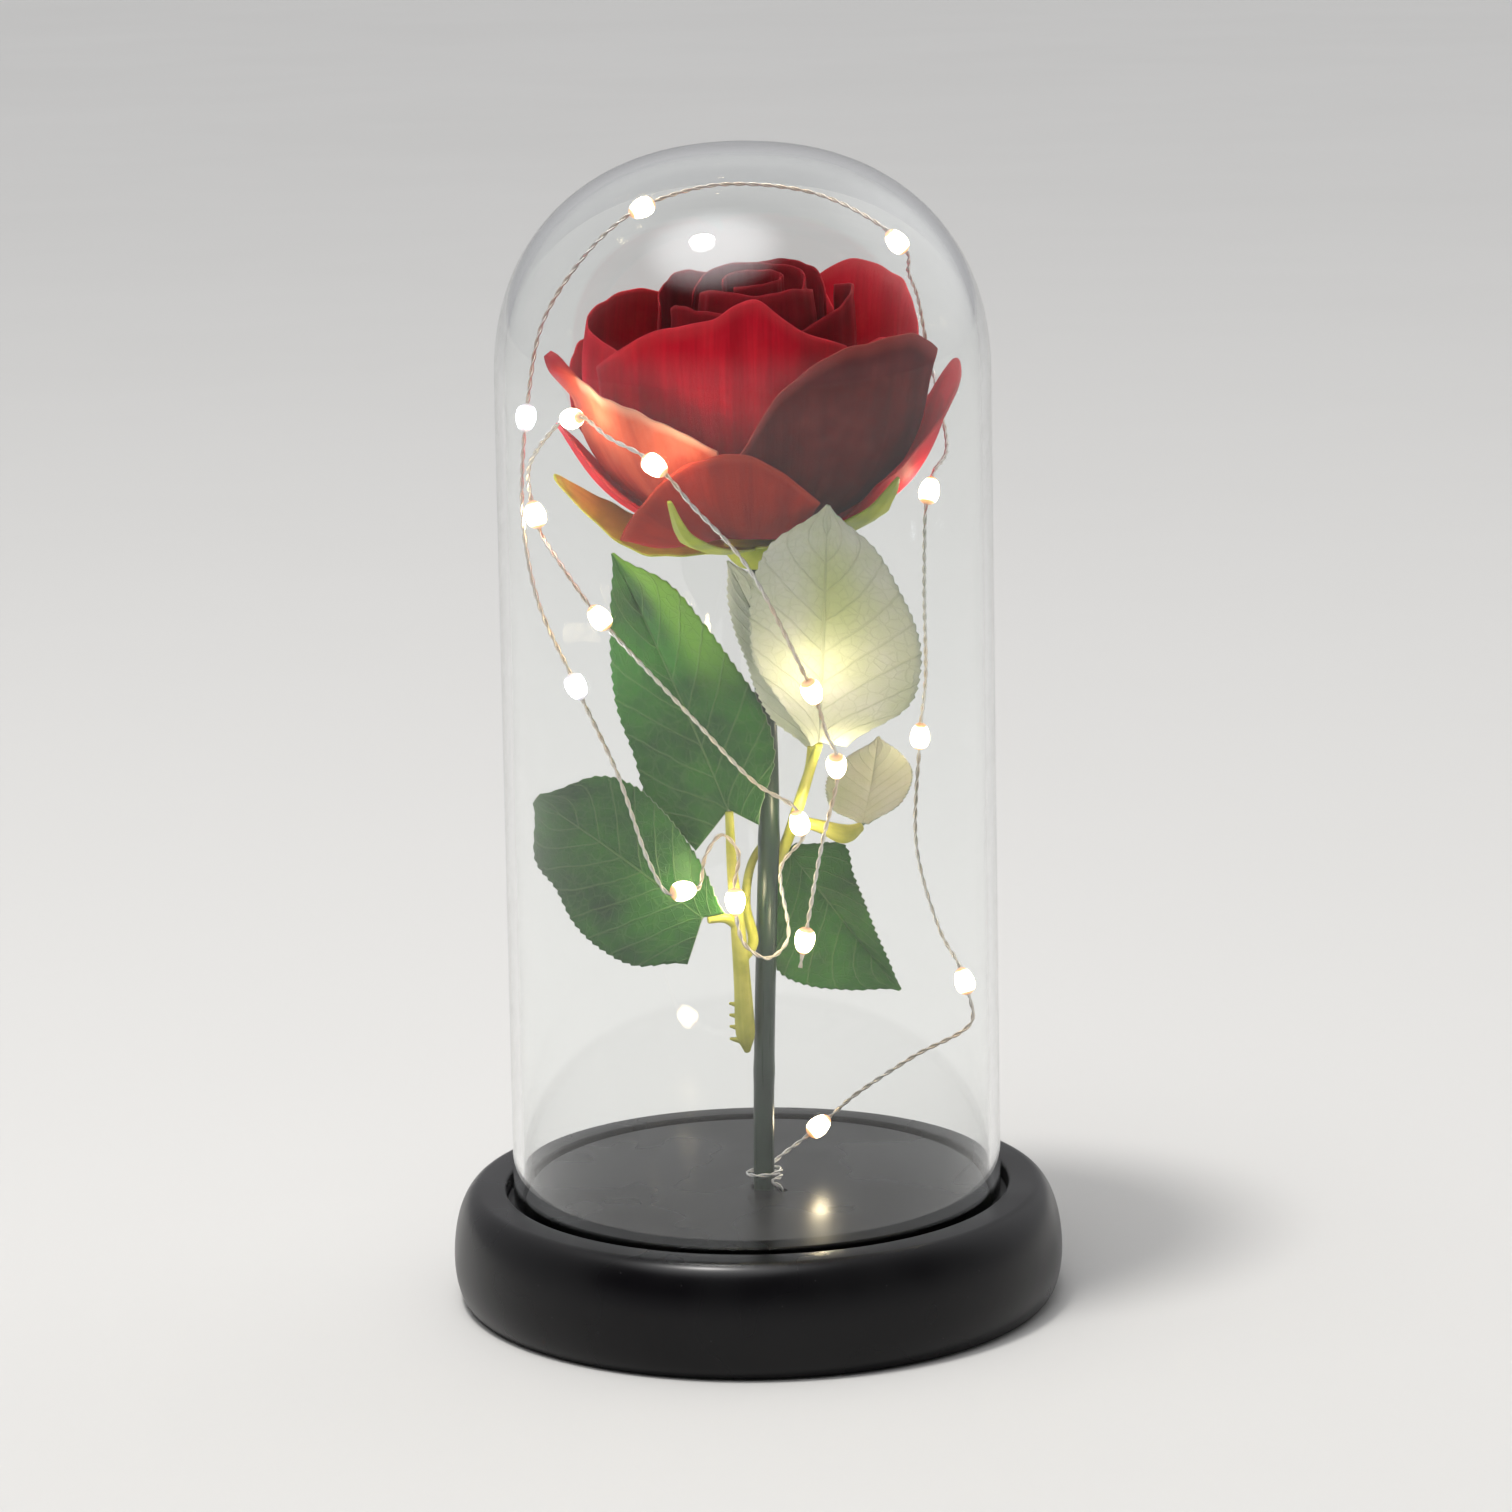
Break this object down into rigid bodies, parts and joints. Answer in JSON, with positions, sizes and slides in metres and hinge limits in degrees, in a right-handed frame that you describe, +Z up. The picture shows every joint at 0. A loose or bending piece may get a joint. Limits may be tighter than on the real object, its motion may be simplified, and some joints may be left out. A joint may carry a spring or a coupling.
{
  "type": "preserved rose in glass dome",
  "caption": "Single red rose with leaves and a string of small lamps, standing on a round black base inside a clear glass dome that lifts off.",
  "frame": {"origin": "centre of the underside of the round base", "axes": "+Z up along the axis of the base and dome, -Y towards the front, +X to the right seen from the front"},
  "size_m": [0.115, 0.115, 0.2172],
  "materials": {
    "black_lacquer": "black satin lacquer",
    "foot_rubber": "dark matt rubber",
    "clear_glass": "clear polished",
    "red_velvet": "velvety petal",
    "stem_green": "dark green satin",
    "sprout_green": "yellow green satin",
    "leaf_green": "veined leaf, upper side",
    "pale_leaf_green": "veined leaf, pale underside",
    "silver_wire": "twisted silvery wire",
    "lit_resin": "clear resin drop, lit"
  },
  "bodies": {
    "root": {"base": "black_lacquer", "foot_pad": "foot_rubber", "glass_dome": "clear_glass", "rose_stem": "stem_green", "calyx": "sprout_green", "petal_front_low": "red_velvet", "petal_left_low": "red_velvet", "petal_right_low": "red_velvet", "petal_back_right_low": "red_velvet", "petal_back_left_low": "red_velvet", "petal_front_left": "red_velvet", "petal_front_right": "red_velvet", "petal_back_right": "red_velvet", "petal_back": "red_velvet", "petal_back_left": "red_velvet", "petal_middle_front": "red_velvet", "petal_middle_left": "red_velvet", "petal_middle_right": "red_velvet", "petal_middle_back": "red_velvet", "petal_inner_front": "red_velvet", "petal_inner_right": "red_velvet", "petal_inner_back": "red_velvet", "petal_inner_left": "red_velvet", "petal_bud_front": "red_velvet", "petal_bud_back": "red_velvet", "petal_bud_roll": "red_velvet", "leaf_sprig_left": "sprout_green", "leaf_sprig_right": "sprout_green", "leaf_left_top": "leaf_green", "leaf_left_side": "leaf_green", "leaf_right_low": "leaf_green", "leaf_right_front": "pale_leaf_green", "leaf_right_rear": "pale_leaf_green", "leaf_right_back": "pale_leaf_green", "lamp_wire": "silver_wire", "lamp_01": "lit_resin", "lamp_02": "lit_resin", "lamp_03": "lit_resin", "lamp_04": "lit_resin", "lamp_05": "lit_resin", "lamp_06": "lit_resin", "lamp_07": "lit_resin", "lamp_08": "lit_resin", "lamp_09": "lit_resin", "lamp_10": "lit_resin", "lamp_11": "lit_resin", "lamp_12": "lit_resin", "lamp_13": "lit_resin", "lamp_14": "lit_resin", "lamp_15": "lit_resin", "lamp_16": "lit_resin", "lamp_17": "lit_resin", "lamp_18": "lit_resin"}
  },
  "joints": []
}
